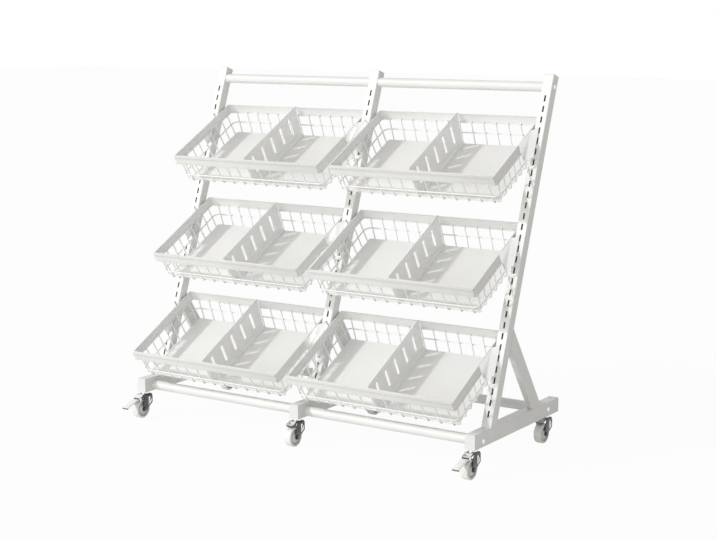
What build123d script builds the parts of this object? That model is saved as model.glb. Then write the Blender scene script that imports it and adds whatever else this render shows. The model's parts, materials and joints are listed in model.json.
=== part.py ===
"""Produce display stand on casters.

Three leaning side frames carry two bays of three forward-tilted wire baskets. Each basket hangs by two
folded arms, whose hooks plug into the slots of the uprights, and holds a floor sheet and a divider that
slides sideways. Millimetres, +X to the right, +Y to the back, +Z up. The origin is on the floor, in the
middle of the outer box.
"""
import os
from math import atan2, cos, degrees, radians, sin, tan

from build123d import *

# Side frames
LEG_WIDTH = 36.0
LEG_HEIGHT = 47.5
LEG_LENGTH = 560.0  # over both end caps
UPRIGHT_SIZE = 35.0  # square section
UPRIGHT_LENGTH = 1119.0  # along the front face, from the leg to the cap
UPRIGHT_SETBACK = 99.0  # front face behind the leg's front end, at the leg's top
UPRIGHT_LEAN = 19.8
BRACE_WIDTH = 20.0
BRACE_DEPTH = 50.0
BRACE_SETBACK = 403.0  # middle of the brace's foot behind the leg's front end
BRACE_LEAN = 34.5
TUBE_WALL = 2.0
TUBE_CORNER = 3.0
MIN_CORNER = 0.2

# Bars between the side frames
CROSSBAR_DIAMETER = 32.0
FRONT_CROSSBAR_SETBACK = 51.0  # behind the legs' front ends
FRONT_CROSSBAR_RISE = 18.5  # axis above the legs' undersides
REAR_CROSSBAR_SETBACK = 75.0  # ahead of the legs' rear ends
REAR_CROSSBAR_RISE = 23.5
RAIL_DIAMETER = 32.0
RAIL_DROP = 33.5  # rail's axis below the upright's end
END_PLATE = 4.0
BOLT_DIAMETER = 8.0
BOLT_HEAD_DIAMETER = 14.0
BOLT_HEAD_HEIGHT = 4.0
BOLT_HEAD_ROUND = 1.5
BOLT_GRIP = 4.0  # bolt's length past an end plate
HOLE_CLEARANCE = 0.25  # on the radius

# End caps
CAP_PLATE = 4.0
CAP_PLUG = 5.0
CAP_CLEARANCE = 0.2
CAP_ROUND = 1.5

# Slot row on each upright
SLOT_PITCH = 34.5
SLOT_COUNT = 30
SLOT_FIRST = 42.0  # lowest slot's middle above the leg, along the upright
SLOT_WIDTH = 6.0
SLOT_HEIGHT = 20.0

# Basket, in its own frame: Y back along the rim, Z up from it, zero at the rear rim's outer top edge
BASKET_WIDTH = 605.0
BASKET_DEPTH = 345.0
BASKET_SIDE_GAP = 5.0  # from the rim to each upright
BASKET_TILT = 28.0  # front edge down, from level
BASKET_BEHIND_FACE = 41.3  # rear rim behind the upright's front face
BASKET_ABOVE_SLOT = 55.5  # rear rim above the upper hook's slot, along the upright
TIER_SLOTS = {"top": 26, "middle": 16, "bottom": 6}  # slot of each tier's upper hook
RIM_HEIGHT = 30.0
RIM_FLANGE = 3.0
RIM_SHEET = 1.5
WIRE = 4.5
WIRE_GAP = 0.2  # from the wires' outer face to the rim's inner face
WIRE_TOP_DROP = 24.0  # walls' upper edge below the rim's
FLOOR_DROP = 104.0  # basket floor below the rim
SIDE_TAPER = 9.0  # each side wall, drawn in from rim to floor
FRONT_TAPER = 12.0
REAR_TAPER = 11.5
MID_WIRE_FRONT_DROP = 80.0  # ring of wire round the walls, below the rim
MID_WIRE_REAR_DROP = 69.0
CROSS_WIRE_PITCH = 45.0  # wires from front to back
LONG_WIRE_PITCH = 37.0  # wires from side to side
LONG_WIRE_FIRST = 40.0  # behind the foot of the front wall
BORDER = 5.0

# Floor sheet and divider
SHEET = 1.5
SHEET_GAP = 2.5  # round the floor sheet
DIVIDER_GAP = 2.0  # to the walls
DIVIDER_LIFT = 0.3  # running gap over the floor sheet and the rim
DIVIDER_RISE = 6.0  # top edge above the rim
DIVIDER_SHOULDER = 20.0  # below the rim, where the ends turn upright
DIVIDER_FOOT = 10.0
DIVIDER_SLOT_WIDTH = 12.0
DIVIDER_SLOT_TOP = 14.0  # below the rim
DIVIDER_SLOT_LENGTH = 62.0
DIVIDER_SLOT_FIRST = 62.0  # ahead of the rear rim
DIVIDER_SLOT_PITCH = 58.75
DIVIDER_SLOT_COUNT = 5

# Price strip on the front rim
STRIP_INSET = 2.0  # from each end of the rim
STRIP_MARGIN = 1.5  # from the rim's top and bottom edges
STRIP_DEPTH = 7.5
STRIP_BACK = 4.8  # behind the label
STRIP_WALL = 1.2
STRIP_LIP = 3.0

# Hanger arms
ARM_SHEET = 2.0
ARM_REACH = 172.0  # front edge ahead of the rear rim
ARM_BOTTOM = 64.0  # lower edge below the rim
ARM_HEEL = 8.0  # lower front corner behind the front edge
ARM_FOLD_FRONT = 15.0  # folds, ahead of the upright's front face
ARM_FOLD_REAR = 5.0
ARM_FACE_GAP = 0.3
HOOK_OFFSET = 1.5  # hook's middle from the slot's middle
HOOK_NECK = 9.6
HOOK_GAP = 0.2
HOOK_DROP = 8.0  # lip below the slot's lower edge
HOOK_LIP = 3.0
HOOK_WALL_GAP = 0.4

# Casters, each in its own frame: swivel axis on Z, floor at zero, wheel trailing to the front
CASTER_HEIGHT = 88.5  # floor to the leg's underside
FRONT_SWIVEL_SETBACK = 19.0  # behind the legs' front ends
REAR_SWIVEL_SETBACK = 61.0  # ahead of the legs' rear ends
CASTER_TRAIL = 24.0
WHEEL_DIAMETER = 65.0
WHEEL_WIDTH = 27.0
TREAD_ROUND = 4.0
HUB_DIAMETER = 20.0
HUB_LENGTH = 29.0
WHEEL_RECESS = 4.0
WHEEL_RIM = 6.5  # tread's thickness outside the recess
AXLE_DIAMETER = 8.0
AXLE_HEAD_DIAMETER = 13.0
AXLE_HEAD_HEIGHT = 4.0
RUNNING_CLEARANCE = 0.05  # on the radius
SEAT_CLEARANCE = 0.02
FORK_SHEET = 2.5
FORK_INSIDE = 31.0
FORK_TOP_DROP = 6.0  # crown's top below the leg
CROWN_FRONT = 22.0
CROWN_REAR = 17.0
CHEEK_STRAIGHT = 34.0  # upright rear edge of each cheek, below the crown's top
CHEEK_RADIUS = 9.0
TONGUE_WIDTH = 26.0
TONGUE_REACH = 44.0
TONGUE_FALL = 9.0
STEM_DIAMETER = 10.0
STEM_RISE = 18.0  # above the leg's underside
RACE_DIAMETER = 30.0
RACE_GAP = 0.3
RIVET_DIAMETER = 17.0
RIVET_HEIGHT = 3.2
NUT_DIAMETER = 17.0
NUT_HEIGHT = 8.0

# Brake pedal of the front corner casters
PEDAL_REACH = 104.0  # tip ahead of the swivel axis
PEDAL_PIVOT_REACH = 40.0
PEDAL_PIVOT_HEIGHT = 67.5
PEDAL_SHEET = 3.0
PEDAL_WIDTH = 24.0
PEDAL_TIP_HEIGHT = 47.5
PEDAL_KNEE = (58.0, 66.0)  # reach and height
PEDAL_HUB_RADIUS = 3.6
PEDAL_PIN_RADIUS = 2.0
LUG_RADIUS = 4.2
LUG_SHEET = 2.0
LUG_GAP = 0.5
SHOE_REACH = 58.0
SHOE_LENGTH = 10.0
SHOE_WIDTH = 18.0
SHOE_DEPTH = 8.0

# Places worked out from the above
BAY_PITCH = BASKET_WIDTH + 2 * BASKET_SIDE_GAP + UPRIGHT_SIZE  # from one side frame's middle to the next
LEG_FRONT = (PEDAL_REACH - FRONT_SWIVEL_SETBACK - LEG_LENGTH) / 2
LEG_REAR = LEG_FRONT + LEG_LENGTH
LEG_MIDDLE_HEIGHT = CASTER_HEIGHT + LEG_HEIGHT / 2
LEG_TOP = CASTER_HEIGHT + LEG_HEIGHT
UPRIGHT_Y = LEG_FRONT + UPRIGHT_SETBACK
CROSSBARS = {
    "front": (LEG_FRONT + FRONT_CROSSBAR_SETBACK, CASTER_HEIGHT + FRONT_CROSSBAR_RISE),
    "rear": (LEG_REAR - REAR_CROSSBAR_SETBACK, CASTER_HEIGHT + REAR_CROSSBAR_RISE),
}
FRAME_X = {"left": -BAY_PITCH, "centre": 0.0, "right": BAY_PITCH}
BAY_X = {"left": -BAY_PITCH / 2, "right": BAY_PITCH / 2}
CASTERS = {
    f"{end}_{side}": (x, y)
    for end, y in (("front", LEG_FRONT + FRONT_SWIVEL_SETBACK), ("rear", LEG_REAR - REAR_SWIVEL_SETBACK))
    for side, x in FRAME_X.items()
}
BRAKED = ("front_left", "front_right")
AXLE_HEIGHT = WHEEL_DIAMETER / 2
CROWN_TOP = CASTER_HEIGHT - FORK_TOP_DROP
WALL_TOP_X = BASKET_WIDTH / 2 - RIM_SHEET - WIRE_GAP - WIRE
WALL_FLOOR_X = BASKET_WIDTH / 2 - SIDE_TAPER - WIRE
WALL_TOP_FRONT = -BASKET_DEPTH + RIM_SHEET + WIRE_GAP + WIRE
WALL_FLOOR_FRONT = -BASKET_DEPTH + FRONT_TAPER + WIRE
WALL_TOP_REAR = -RIM_SHEET - WIRE_GAP - WIRE
WALL_FLOOR_REAR = -REAR_TAPER - WIRE
ARM_TURN = radians(BASKET_TILT + UPRIGHT_LEAN)  # from the upright's normal to the rim


def upright_plane(x):
    """Frame on an upright's front face at the leg: X across, Y back through the tube, Z up along it."""
    lean = radians(UPRIGHT_LEAN)
    return Plane(origin=(x, UPRIGHT_Y, LEG_TOP), x_dir=(1, 0, 0), z_dir=(0, sin(lean), cos(lean)))


def slot_height(index):
    """Middle of a slot, along the upright from the leg."""
    return SLOT_FIRST + index * SLOT_PITCH


def basket_plane(bay, tier):
    """Frame at the middle of a basket's rear rim."""
    along = slot_height(TIER_SLOTS[tier]) + BASKET_ABOVE_SLOT
    origin = upright_plane(BAY_X[bay]).from_local_coords((0, BASKET_BEHIND_FACE, along))
    tilt = radians(BASKET_TILT)
    return Plane(origin=origin, x_dir=(1, 0, 0), z_dir=(0, -sin(tilt), cos(tilt)))


def box_between(low, high):
    """Box from its lowest to its highest corner."""
    size = [b - a for a, b in zip(low, high)]
    middle = [(a + b) / 2 for a, b in zip(low, high)]
    return Pos(*middle) * Box(*size)


def rod_x(diameter, x0, x1, y, z):
    """Round bar along X."""
    return Pos((x0 + x1) / 2, y, z) * Rot(0, 90, 0) * Cylinder(diameter / 2, abs(x1 - x0))


def thick_line(points, thickness):
    """Closed outline of a strip of even thickness along a bent line, with mitred bends."""
    left, right = [], []
    for i, (px, py) in enumerate(points):
        before = points[max(i - 1, 0)]
        after = points[min(i + 1, len(points) - 1)]
        here = points[i]
        angles = []
        for start, end in ((before, here), (here, after)):
            if start != end:
                angles.append(atan2(end[1] - start[1], end[0] - start[0]))
        middle = sum(angles) / len(angles)
        reach = thickness / 2 / cos((angles[-1] - angles[0]) / 2)
        left.append((px - reach * sin(middle), py + reach * cos(middle)))
        right.append((px + reach * sin(middle), py - reach * cos(middle)))
    return Polygon(*right, *reversed(left), align=None)


def square_tube(width, height, length):
    """Rounded rectangular tube along +Z from zero."""
    inner_corner = max(TUBE_CORNER - TUBE_WALL, MIN_CORNER)
    outer = RectangleRounded(width, height, TUBE_CORNER)
    inner = RectangleRounded(width - 2 * TUBE_WALL, height - 2 * TUBE_WALL, inner_corner)
    return extrude(outer - inner, length)


def leg(x):
    """Base tube, with holes for the caster stems and the crossbar bolts."""
    length = LEG_LENGTH - 2 * CAP_PLATE
    start = Plane(origin=(x, LEG_FRONT + CAP_PLATE, LEG_MIDDLE_HEIGHT), x_dir=(1, 0, 0), z_dir=(0, 1, 0))
    body = start.location * square_tube(LEG_WIDTH, LEG_HEIGHT, length)
    hole = BOLT_DIAMETER + 2 * HOLE_CLEARANCE
    for y, z in CROSSBARS.values():
        body -= rod_x(hole, x - LEG_WIDTH, x + LEG_WIDTH, y, z)
    stem_hole = Cylinder(STEM_DIAMETER / 2 + HOLE_CLEARANCE, 4 * TUBE_WALL)
    for swivel_x, swivel_y in CASTERS.values():
        if swivel_x == x:
            body -= Pos(x, swivel_y, CASTER_HEIGHT) * stem_hole
    return body


def upright(x):
    """Leaning slotted tube, cut level where it stands on the leg."""
    frame = upright_plane(x)
    overlap = UPRIGHT_SIZE * tan(radians(UPRIGHT_LEAN)) + TUBE_CORNER
    tube = square_tube(UPRIGHT_SIZE, UPRIGHT_SIZE, UPRIGHT_LENGTH + overlap)
    body = Pos(0, UPRIGHT_SIZE / 2, -overlap) * tube
    slot = Box(SLOT_WIDTH, 2 * TUBE_WALL, SLOT_HEIGHT)
    slots = [Pos(0, TUBE_WALL / 2, slot_height(i)) * slot for i in range(SLOT_COUNT)]
    hole = BOLT_DIAMETER + 2 * HOLE_CLEARANCE
    bolt = rod_x(hole, -UPRIGHT_SIZE, UPRIGHT_SIZE, UPRIGHT_SIZE / 2, UPRIGHT_LENGTH - RAIL_DROP)
    body = frame.location * (body - slots - bolt)
    return split(body, bisect_by=Plane.XY.offset(LEG_TOP), keep=Keep.TOP)


def brace(name):
    """Rear tube from the upright's back to the leg, flush with the outside of the outer frames."""
    side = {"left": -1, "centre": 0, "right": 1}[name]
    x = FRAME_X[name] + side * (LEG_WIDTH - BRACE_WIDTH) / 2
    lean = radians(BRACE_LEAN)
    foot_place = (x, LEG_FRONT + BRACE_SETBACK, LEG_TOP)
    foot = Plane(origin=foot_place, x_dir=(1, 0, 0), z_dir=(0, -sin(lean), cos(lean)))
    past_ends = 2 * BRACE_DEPTH
    body = foot.location * Pos(0, 0, -past_ends) * square_tube(BRACE_WIDTH, BRACE_DEPTH, UPRIGHT_LENGTH / 2)
    body = split(body, bisect_by=Plane.XY.offset(LEG_TOP), keep=Keep.TOP)
    upright_frame = upright_plane(0)
    back_place = upright_frame.from_local_coords((0, UPRIGHT_SIZE, 0))
    back = Plane(origin=back_place, x_dir=(1, 0, 0), z_dir=upright_frame.y_dir)
    return split(body, bisect_by=back, keep=Keep.TOP)


def bar_between(diameter, x0, x1, frame):
    """Round tube along X between two side frames, with a drilled plate in each end."""
    outer = Circle(diameter / 2)
    body = extrude(outer - Circle(diameter / 2 - TUBE_WALL), x1 - x0)
    plate = extrude(outer - Circle(BOLT_DIAMETER / 2 + HOLE_CLEARANCE), END_PLATE)
    body = body + plate + Pos(0, 0, x1 - x0 - END_PLATE) * plate
    start = Plane(origin=frame.from_local_coords((x0, 0, 0)), x_dir=frame.y_dir, z_dir=frame.x_dir)
    return start.location * body


def bars(diameter, frame, frame_width):
    """One bar in each bay, from the inner side of one frame to the next."""
    half = (BAY_PITCH - frame_width) / 2
    return [bar_between(diameter, x - half, x + half, frame) for x in BAY_X.values()]


def rail_frame():
    """Frame on the top rails' axis."""
    frame = upright_plane(0)
    origin = frame.from_local_coords((0, UPRIGHT_SIZE / 2, UPRIGHT_LENGTH - RAIL_DROP))
    return Plane(origin=origin, x_dir=(1, 0, 0), z_dir=frame.z_dir)


def end_cap(width, height):
    """Plastic cap at zero on top of a tube that ends there, with its plug inside."""
    plug_width = width - 2 * TUBE_WALL - 2 * CAP_CLEARANCE
    plug_height = height - 2 * TUBE_WALL - 2 * CAP_CLEARANCE
    plate = extrude(RectangleRounded(width, height, TUBE_CORNER), CAP_PLATE)
    plate = fillet(plate.faces().sort_by(Axis.Z)[-1].edges(), CAP_ROUND)
    return plate + extrude(RectangleRounded(plug_width, plug_height, TUBE_CORNER), -CAP_PLUG)


def tube_caps():
    """Caps on the uprights' tops and both ends of the legs."""
    caps = []
    for x in FRAME_X.values():
        top = Pos(0, UPRIGHT_SIZE / 2, UPRIGHT_LENGTH) * end_cap(UPRIGHT_SIZE, UPRIGHT_SIZE)
        caps.append(upright_plane(x).location * top)
        for y, way in ((LEG_FRONT + CAP_PLATE, -1), (LEG_REAR - CAP_PLATE, 1)):
            end = Plane(origin=(x, y, LEG_MIDDLE_HEIGHT), x_dir=(1, 0, 0), z_dir=(0, way, 0))
            caps.append(end.location * end_cap(LEG_WIDTH, LEG_HEIGHT))
    return caps


def bolt(x_face, x_tip, y, z):
    """Round-headed bolt along X, with the head's flat on the face at x_face."""
    way = 1 if x_face > x_tip else -1
    head = Cylinder(BOLT_HEAD_DIAMETER / 2, BOLT_HEAD_HEIGHT, align=(Align.CENTER, Align.CENTER, Align.MIN))
    head = fillet(head.edges().sort_by(Axis.Z)[-1], BOLT_HEAD_ROUND)
    placed = Pos(x_face, y, z) * Rot(0, 90 * way, 0) * head
    return placed + rod_x(BOLT_DIAMETER, x_face, x_tip, y, z)


def bolts():
    """Bolts through the outer frames and studs through the centre one, into the bars' end plates."""
    rail = rail_frame().origin
    rows = [(y, z, LEG_WIDTH) for y, z in CROSSBARS.values()]
    rows.append((rail.Y, rail.Z, UPRIGHT_SIZE))
    made = []
    for y, z, width in rows:
        inside = width / 2 + END_PLATE + BOLT_GRIP
        for way in (-1, 1):
            made.append(bolt(way * (BAY_PITCH + width / 2), way * (BAY_PITCH - inside), y, z))
        made.append(rod_x(BOLT_DIAMETER, -inside, inside, y, z))
    return made


def caster_stem():
    """Race and kingpin under the leg, with the threaded stem and its nut inside the tube."""
    bottom = Align.CENTER, Align.CENTER, Align.MIN
    race_height = FORK_TOP_DROP - RACE_GAP
    crown_bottom = CROWN_TOP - FORK_SHEET
    rivet_bottom = crown_bottom - RACE_GAP - RIVET_HEIGHT
    stem = Pos(0, 0, rivet_bottom) * Cylinder(
        STEM_DIAMETER / 2, CASTER_HEIGHT + STEM_RISE - rivet_bottom, align=bottom
    )
    race = Pos(0, 0, CASTER_HEIGHT - race_height) * Cylinder(RACE_DIAMETER / 2, race_height, align=bottom)
    rivet = Pos(0, 0, rivet_bottom) * Cylinder(RIVET_DIAMETER / 2, RIVET_HEIGHT, align=bottom)
    nut_hole = Circle(STEM_DIAMETER / 2 + SEAT_CLEARANCE)
    nut = extrude(RegularPolygon(NUT_DIAMETER / 2, 6) - nut_hole, NUT_HEIGHT)
    return [stem + race + rivet, Pos(0, 0, CASTER_HEIGHT + TUBE_WALL) * nut]


def fork(braked):
    """Pressed fork with its crown, cheeks and front tongue, and the axle bolt across it."""
    half = FORK_INSIDE / 2 + FORK_SHEET
    crown_bottom = CROWN_TOP - FORK_SHEET
    crown = box_between((-half, -CROWN_FRONT, crown_bottom), (half, CROWN_REAR, CROWN_TOP))
    axle = (-CASTER_TRAIL, AXLE_HEIGHT)
    rear_end = CROWN_TOP - CHEEK_STRAIGHT
    corners = Polyline((-CROWN_FRONT, CROWN_TOP), (CROWN_REAR, CROWN_TOP), (CROWN_REAR, rear_end))
    outline = make_hull(corners.edges() + (Pos(*axle) * Circle(CHEEK_RADIUS)).edges())
    outline -= Pos(*axle) * Circle(AXLE_DIAMETER / 2 + SEAT_CLEARANCE)
    cheek = extrude(Plane.YZ * outline, FORK_SHEET)
    tongue_line = [(-CROWN_FRONT + FORK_SHEET, CROWN_TOP - FORK_SHEET / 2)]
    tongue_line += [(-CROWN_FRONT, CROWN_TOP - FORK_SHEET / 2)]
    tongue_line += [(-TONGUE_REACH, CROWN_TOP - FORK_SHEET / 2 - TONGUE_FALL)]
    tongue = extrude(Plane.YZ * thick_line(tongue_line, FORK_SHEET), TONGUE_WIDTH / 2, both=True)
    body = crown + Pos(FORK_INSIDE / 2, 0, 0) * cheek + Pos(-half, 0, 0) * cheek + tongue
    body -= Pos(0, 0, CROWN_TOP) * Cylinder(STEM_DIAMETER / 2 + RUNNING_CLEARANCE, 4 * FORK_SHEET)
    if braked:
        body += pedal_lugs()
    bolt_body = rod_x(AXLE_DIAMETER, -half, half, *axle)
    for way in (-1, 1):
        bolt_body += rod_x(AXLE_HEAD_DIAMETER, way * half, way * (half + AXLE_HEAD_HEIGHT), *axle)
    return [body, bolt_body]


def pedal_lugs():
    """Two lugs under the fork's tongue and the pin between them, which carries the pedal."""
    pivot = (-PEDAL_PIVOT_REACH, PEDAL_PIVOT_HEIGHT)
    tongue_fall_at_pivot = TONGUE_FALL * (PEDAL_PIVOT_REACH - CROWN_FRONT) / (TONGUE_REACH - CROWN_FRONT)
    top = CROWN_TOP - FORK_SHEET / 2 - tongue_fall_at_pivot
    outline = Pos(*pivot) * Circle(LUG_RADIUS)
    outline += Polygon(
        (pivot[0] - LUG_RADIUS, pivot[1]),
        (pivot[0] + LUG_RADIUS, pivot[1]),
        (pivot[0] + LUG_RADIUS, top),
        (pivot[0] - LUG_RADIUS, top),
        align=None,
    )
    inside = PEDAL_WIDTH / 2 + LUG_GAP
    lug = extrude(Plane.YZ * outline, LUG_SHEET)
    pin = rod_x(2 * PEDAL_PIN_RADIUS, -inside - LUG_SHEET, inside + LUG_SHEET, *pivot)
    return Pos(inside, 0, 0) * lug + Pos(-inside - LUG_SHEET, 0, 0) * lug + pin


def wheel():
    """Solid wheel with a rounded tread, recessed sides and a hub bored for the axle."""
    radius = WHEEL_DIAMETER / 2
    half = WHEEL_WIDTH / 2
    tread = extrude(Circle(radius), WHEEL_WIDTH)
    tread = fillet(tread.edges(), TREAD_ROUND)
    tread = Pos(0, 0, -half) * tread
    recess = extrude(Circle(radius - WHEEL_RIM) - Circle(HUB_DIAMETER / 2), WHEEL_RECESS)
    tread -= [Pos(0, 0, half - WHEEL_RECESS) * recess, Pos(0, 0, -half) * recess]
    hub = Cylinder(HUB_DIAMETER / 2, HUB_LENGTH)
    bore = Cylinder(AXLE_DIAMETER / 2 + RUNNING_CLEARANCE, 2 * HUB_LENGTH)
    return Pos(0, -CASTER_TRAIL, AXLE_HEIGHT) * Rot(0, 90, 0) * (tread + hub - bore)


def brake_pedal():
    """Bent pedal on the fork's pin, with the shoe that meets the tread when the pedal is pressed."""
    pivot = (-PEDAL_PIVOT_REACH, PEDAL_PIVOT_HEIGHT)
    knee = (-PEDAL_KNEE[0], PEDAL_KNEE[1])
    tip = (-PEDAL_REACH - PEDAL_SHEET, PEDAL_TIP_HEIGHT)
    plate = extrude(Plane.YZ * thick_line([pivot, knee, tip], PEDAL_SHEET), PEDAL_WIDTH / 2, both=True)
    hub = rod_x(2 * PEDAL_HUB_RADIUS, -PEDAL_WIDTH / 2, PEDAL_WIDTH / 2, *pivot)
    slope = atan2(tip[1] - knee[1], tip[0] - knee[0])
    below_knee = (PEDAL_KNEE[0] - SHOE_REACH) * tan(slope)
    shoe_top = PEDAL_KNEE[1] + below_knee
    shoe = box_between(
        (-SHOE_WIDTH / 2, -SHOE_REACH - SHOE_LENGTH / 2, shoe_top - PEDAL_SHEET - SHOE_DEPTH),
        (SHOE_WIDTH / 2, -SHOE_REACH + SHOE_LENGTH / 2, shoe_top - PEDAL_SHEET / 2),
    )
    body = plate + hub + shoe
    body -= rod_x(2 * (PEDAL_PIN_RADIUS + RUNNING_CLEARANCE), -PEDAL_WIDTH, PEDAL_WIDTH, *pivot)
    return split(body, bisect_by=Plane(origin=(0, -PEDAL_REACH, 0), z_dir=(0, 1, 0)), keep=Keep.TOP)


def rim():
    """Four folded strips with mitred corners, open below."""
    half = BASKET_WIDTH / 2
    inner = half - RIM_SHEET
    ring = box_between((-half, -BASKET_DEPTH, -RIM_HEIGHT), (half, 0, 0))
    ring -= box_between(
        (-inner, -BASKET_DEPTH + RIM_SHEET, -RIM_HEIGHT), (inner, -RIM_SHEET, -RIM_SHEET)
    )
    lip = half - RIM_FLANGE
    ring -= box_between((-lip, -BASKET_DEPTH + RIM_FLANGE, -RIM_SHEET), (lip, -RIM_FLANGE, 0))
    mitre = 2 * RIM_FLANGE
    outer = [(-half, -BASKET_DEPTH), (half, -BASKET_DEPTH), (half, 0), (-half, 0)]
    inset = [(-half + mitre, -BASKET_DEPTH + mitre), (half - mitre, -BASKET_DEPTH + mitre)]
    inset += [(half - mitre, -mitre), (-half + mitre, -mitre)]
    strips = []
    for i in range(4):
        j = (i + 1) % 4
        wedge = extrude(Polygon(outer[i], outer[j], inset[j], inset[i], align=None), -RIM_HEIGHT)
        strips.append(ring & wedge)
    return strips


def cross_wires():
    """Places across the basket of the wires from front to back."""
    count = int((WALL_FLOOR_X - BORDER) // CROSS_WIRE_PITCH)
    return [i * CROSS_WIRE_PITCH for i in range(-count, count + 1)]


def long_wires():
    """Places along the basket's depth of the wires from side to side."""
    first = WALL_FLOOR_FRONT + LONG_WIRE_FIRST
    count = int((WALL_FLOOR_REAR - BORDER - first) // LONG_WIRE_PITCH) + 1
    return [first + i * LONG_WIRE_PITCH for i in range(count)]


def grille(corners, risers, runs):
    """Flat wire panel inside four corners, which go round it anticlockwise as seen from outside the basket.

    Risers go up it at places from the middle of its first edge. Runs go along it, from a height at the start
    of that edge to one at its end.
    """
    first, second, third, fourth = [Vector(*corner) for corner in corners]
    edge = second - first
    plane = Plane(origin=(first + second) / 2, x_dir=edge, z_dir=edge.cross(fourth - first))
    flat = [plane.to_local_coords(corner) for corner in (first, second, third, fourth)]
    outline = Polygon(*[(point.X, point.Y) for point in flat], align=None)
    height = flat[2].Y
    length = flat[1].X - flat[0].X
    wires = [Pos(x, height / 2) * Rectangle(WIRE, height) for x in risers]
    for start, end in runs:
        slope = degrees(atan2(end - start, length))
        wires.append(Pos(0, (start + end) / 2) * Rot(0, 0, slope) * Rectangle(2 * length, WIRE))
    border = outline - offset(outline, -BORDER, kind=Kind.INTERSECTION)
    face = border + [wire & outline for wire in wires]
    return extrude(plane * face, WIRE)


def wire_basket():
    """Floor grid and four drawn-in walls, whose inner faces meet along the edges."""
    low, high = -FLOOR_DROP, -WIRE_TOP_DROP
    floor = [
        (-WALL_FLOOR_X, WALL_FLOOR_FRONT, low),
        (WALL_FLOOR_X, WALL_FLOOR_FRONT, low),
        (WALL_FLOOR_X, WALL_FLOOR_REAR, low),
        (-WALL_FLOOR_X, WALL_FLOOR_REAR, low),
    ]
    top = [
        (-WALL_TOP_X, WALL_TOP_FRONT, high),
        (WALL_TOP_X, WALL_TOP_FRONT, high),
        (WALL_TOP_X, WALL_TOP_REAR, high),
        (-WALL_TOP_X, WALL_TOP_REAR, high),
    ]
    across = cross_wires()
    middle = (WALL_FLOOR_FRONT + WALL_FLOOR_REAR) / 2
    along = [y - middle for y in long_wires()]
    front = FLOOR_DROP - MID_WIRE_FRONT_DROP
    rear = FLOOR_DROP - MID_WIRE_REAR_DROP
    panels = [grille(floor[::-1], across, [(WALL_FLOOR_REAR - y, WALL_FLOOR_REAR - y) for y in long_wires()])]
    walls = [
        (across, front, front),
        (along, front, rear),
        (across, rear, rear),
        ([-y for y in along], rear, front),
    ]
    for i, (risers, start, end) in enumerate(walls):
        j = (i + 1) % 4
        panels.append(grille((floor[i], floor[j], top[j], top[i]), risers, [(start, end)]))
    return panels


def floor_sheet():
    """Loose sheet on the basket's floor grid."""
    half = WALL_FLOOR_X - SHEET_GAP
    return box_between(
        (-half, WALL_FLOOR_FRONT + SHEET_GAP, -FLOOR_DROP),
        (half, WALL_FLOOR_REAR - SHEET_GAP, -FLOOR_DROP + SHEET),
    )


def divider():
    """Slotted plate hung on the front and rear rims, with a foot along the floor sheet."""
    bottom = -FLOOR_DROP + SHEET + DIVIDER_LIFT
    inset = max(RIM_FLANGE, RIM_SHEET + WIRE_GAP + WIRE) + DIVIDER_GAP
    front_edge = -BASKET_DEPTH + inset
    rear_edge = -inset
    outline = Polygon(
        (WALL_FLOOR_FRONT + DIVIDER_GAP, bottom),
        (WALL_FLOOR_REAR - DIVIDER_GAP, bottom),
        (rear_edge, -DIVIDER_SHOULDER),
        (rear_edge, DIVIDER_LIFT),
        (-RIM_SHEET, DIVIDER_LIFT),
        (-RIM_SHEET, DIVIDER_RISE),
        (-BASKET_DEPTH + RIM_SHEET, DIVIDER_RISE),
        (-BASKET_DEPTH + RIM_SHEET, DIVIDER_LIFT),
        (front_edge, DIVIDER_LIFT),
        (front_edge, -DIVIDER_SHOULDER),
        align=None,
    )
    slot = Rectangle(DIVIDER_SLOT_WIDTH, DIVIDER_SLOT_LENGTH)
    slot_z = -DIVIDER_SLOT_TOP - DIVIDER_SLOT_LENGTH / 2
    outline -= [
        Pos(-DIVIDER_SLOT_FIRST - i * DIVIDER_SLOT_PITCH, slot_z) * slot for i in range(DIVIDER_SLOT_COUNT)
    ]
    plate = extrude(Plane.YZ * outline, SHEET / 2, both=True)
    foot = box_between(
        (0, WALL_FLOOR_FRONT + DIVIDER_GAP, bottom),
        (DIVIDER_FOOT, WALL_FLOOR_REAR - DIVIDER_GAP, bottom + SHEET),
    )
    return plate + foot


def price_strip():
    """Label channel along the front rim, open at its ends."""
    top, bottom = -STRIP_MARGIN, -RIM_HEIGHT + STRIP_MARGIN
    face = -BASKET_DEPTH
    front = face - STRIP_DEPTH
    outline = Polygon((face, top), (front, top), (front, bottom), (face, bottom), align=None)
    back = face - STRIP_BACK
    lip = front + STRIP_WALL
    high, low = top - STRIP_WALL, bottom + STRIP_WALL
    outline -= Polygon((back, high), (lip, high), (lip, low), (back, low), align=None)
    mouth_high, mouth_low = top - STRIP_LIP, bottom + STRIP_LIP
    mouth = [(lip, mouth_high), (front, mouth_high), (front, mouth_low), (lip, mouth_low)]
    outline -= Polygon(*mouth, align=None)
    return extrude(Plane.YZ * outline, BASKET_WIDTH / 2 - STRIP_INSET, both=True)


def rim_point(ahead, below, along):
    """Point of the basket's side view in the upright's frame: behind its front face, and along it."""
    back = BASKET_BEHIND_FACE - ahead * cos(ARM_TURN) + below * sin(ARM_TURN)
    return back, along - ahead * sin(ARM_TURN) - below * cos(ARM_TURN)


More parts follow.
